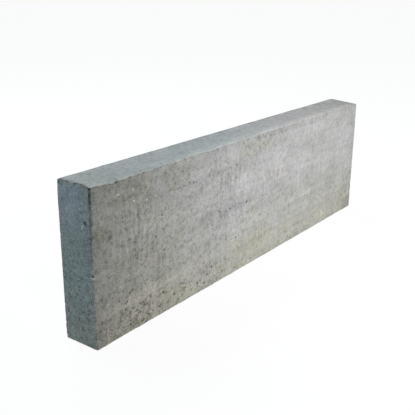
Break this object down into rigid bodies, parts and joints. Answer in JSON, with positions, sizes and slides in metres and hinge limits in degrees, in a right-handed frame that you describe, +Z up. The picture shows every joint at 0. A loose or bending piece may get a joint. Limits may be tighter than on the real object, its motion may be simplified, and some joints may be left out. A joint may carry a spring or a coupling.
{
  "type": "concrete kerb stone",
  "caption": "Long narrow concrete kerb block set on edge, with a rounded shoulder along the top front arris and plain square ends.",
  "frame": {"origin": "middle of the base, on the surface that the kerb stands on", "axes": "+Z up, +X along the kerb, -Y out of the front face with the rounded top arris"},
  "size_m": [1, 0.08, 0.3],
  "materials": {
    "concrete": "matte"
  },
  "bodies": {
    "root": {"kerb_stone": "concrete"}
  },
  "joints": []
}
